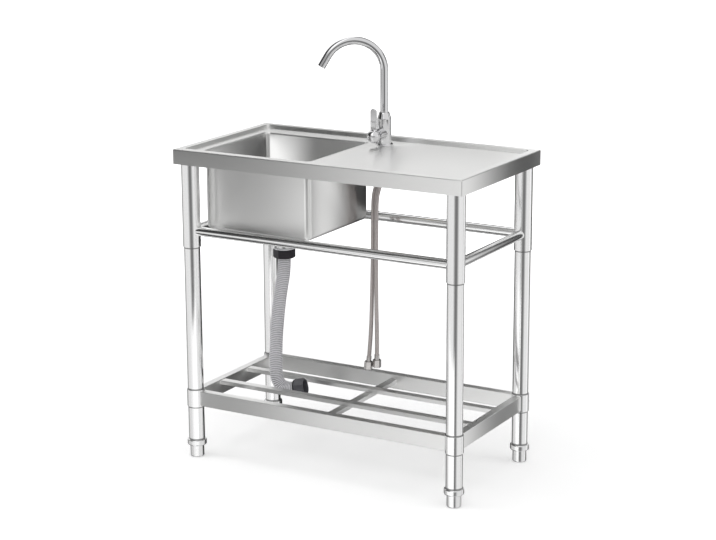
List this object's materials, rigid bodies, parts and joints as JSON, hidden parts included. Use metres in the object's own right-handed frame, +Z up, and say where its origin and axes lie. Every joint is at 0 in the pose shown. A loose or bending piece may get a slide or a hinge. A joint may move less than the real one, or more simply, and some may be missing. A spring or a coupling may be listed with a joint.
{
  "type": "kitchen sink unit",
  "caption": "Free-standing stainless kitchen sink unit: bowl and flat drainer on a tube frame with a slatted shelf, lever mixer, supply hoses and ribbed drain hose.",
  "frame": {"origin": "on the floor, at the centre of the unit's 750 by 400 mm footprint", "axes": "+X towards the drainer's side, +Y to the back, +Z up; the bowl is at -X and the front at -Y"},
  "size_m": [0.75, 0.4, 0.997],
  "materials": {
    "top_steel": "brushed along the length",
    "bowl_steel": "fine brushed",
    "tube_steel": "bright drawn tube",
    "shelf_steel": "brushed along the length",
    "foot_steel": "turned and polished",
    "fastener_steel": "zinc plated",
    "waste_steel": "polished",
    "rubber_black": "matt",
    "plastic_black": "moulded, slightly glossy",
    "plastic_grey": "moulded",
    "plastic_light": "moulded",
    "hose_grey": "ribbed, satin",
    "chrome": "polished chrome",
    "brass_fitting": "turned",
    "braid": "woven wire braid",
    "fitting_steel": "nickel plated"
  },
  "bodies": {
    "root": {"sink_top": "top_steel", "basin": "bowl_steel", "upper_rail_front": "tube_steel", "upper_rail_back": "tube_steel", "upper_side_rails": "tube_steel", "shelf_collars": "tube_steel", "leg_socket_fl": "tube_steel", "leg_socket_fr": "tube_steel", "leg_socket_bl": "tube_steel", "leg_socket_br": "tube_steel", "leg_fl": "tube_steel", "leg_fr": "tube_steel", "leg_bl": "tube_steel", "leg_br": "tube_steel", "shelf_beam_front": "shelf_steel", "shelf_beam_back": "shelf_steel", "shelf_side_beams": "shelf_steel", "shelf_slats": "shelf_steel", "shelf_cross_bar": "shelf_steel", "foot_inserts": "foot_steel", "socket_nuts": "fastener_steel", "grub_screws": "fastener_steel", "spout_clip": "fastener_steel", "drain_body": "waste_steel", "drain_gasket_top": "rubber_black", "drain_gasket_bottom": "rubber_black", "hose_seal": "rubber_black", "faucet_gasket": "rubber_black", "hose_end_collar": "rubber_black", "drain_locknut": "plastic_black", "coupling_nut": "plastic_black", "hose_end_nut": "plastic_grey", "tail_washer": "plastic_light", "drain_hose": "hose_grey", "faucet_base_ring": "chrome", "faucet_body": "chrome", "bonnet_nut": "chrome", "faucet_shank": "brass_fitting", "faucet_nut": "brass_fitting", "faucet_washer": "brass_fitting", "supply_tails": "brass_fitting", "cartridge": "plastic_light", "supply_hose_hot": "braid", "supply_hose_cold": "braid", "supply_ferrules": "fitting_steel", "supply_nut_hot": "fitting_steel", "supply_nut_cold": "fitting_steel"},
    "spout": {"spout": "chrome", "spout_orings": "rubber_black", "aerator": "plastic_light"},
    "spindle": {"spindle": "chrome"},
    "handle": {"handle": "chrome", "handle_pin": "brass_fitting"},
    "strainer": {"strainer_basket": "waste_steel", "strainer_seal": "rubber_black", "strainer_knob": "waste_steel"},
    "foot_fl": {"foot_fl": "foot_steel"},
    "foot_fr": {"foot_fr": "foot_steel"},
    "foot_bl": {"foot_bl": "foot_steel"},
    "foot_br": {"foot_br": "foot_steel"}
  },
  "joints": [
    {"name": "spout_swivel", "type": "hinge", "parent": "root", "child": "spout", "pos_m": [0.004, 0.126, 0.804], "axis": [0, 0, 1], "continuous": true},
    {"name": "handle_turn", "type": "hinge", "parent": "root", "child": "spindle", "pos_m": [0.004, 0.126, 0.768], "axis": [0, -1, 0], "range_deg": [-45, 45]},
    {"name": "handle_lift", "type": "hinge", "parent": "spindle", "child": "handle", "pos_m": [0.004, 0.075, 0.768], "axis": [1, 0, 0], "range_deg": [0, 22]},
    {"name": "strainer_lift", "type": "slide", "parent": "root", "child": "strainer", "axis": [0, 0, 1], "range_m": [0, 0.06]},
    {"name": "foot_fl_adjust", "type": "slide", "parent": "root", "child": "foot_fl", "axis": [0, 0, -1], "range_m": [0, 0.02]},
    {"name": "foot_fr_adjust", "type": "slide", "parent": "root", "child": "foot_fr", "axis": [0, 0, -1], "range_m": [0, 0.02]},
    {"name": "foot_bl_adjust", "type": "slide", "parent": "root", "child": "foot_bl", "axis": [0, 0, -1], "range_m": [0, 0.02]},
    {"name": "foot_br_adjust", "type": "slide", "parent": "root", "child": "foot_br", "axis": [0, 0, -1], "range_m": [0, 0.02]}
  ]
}
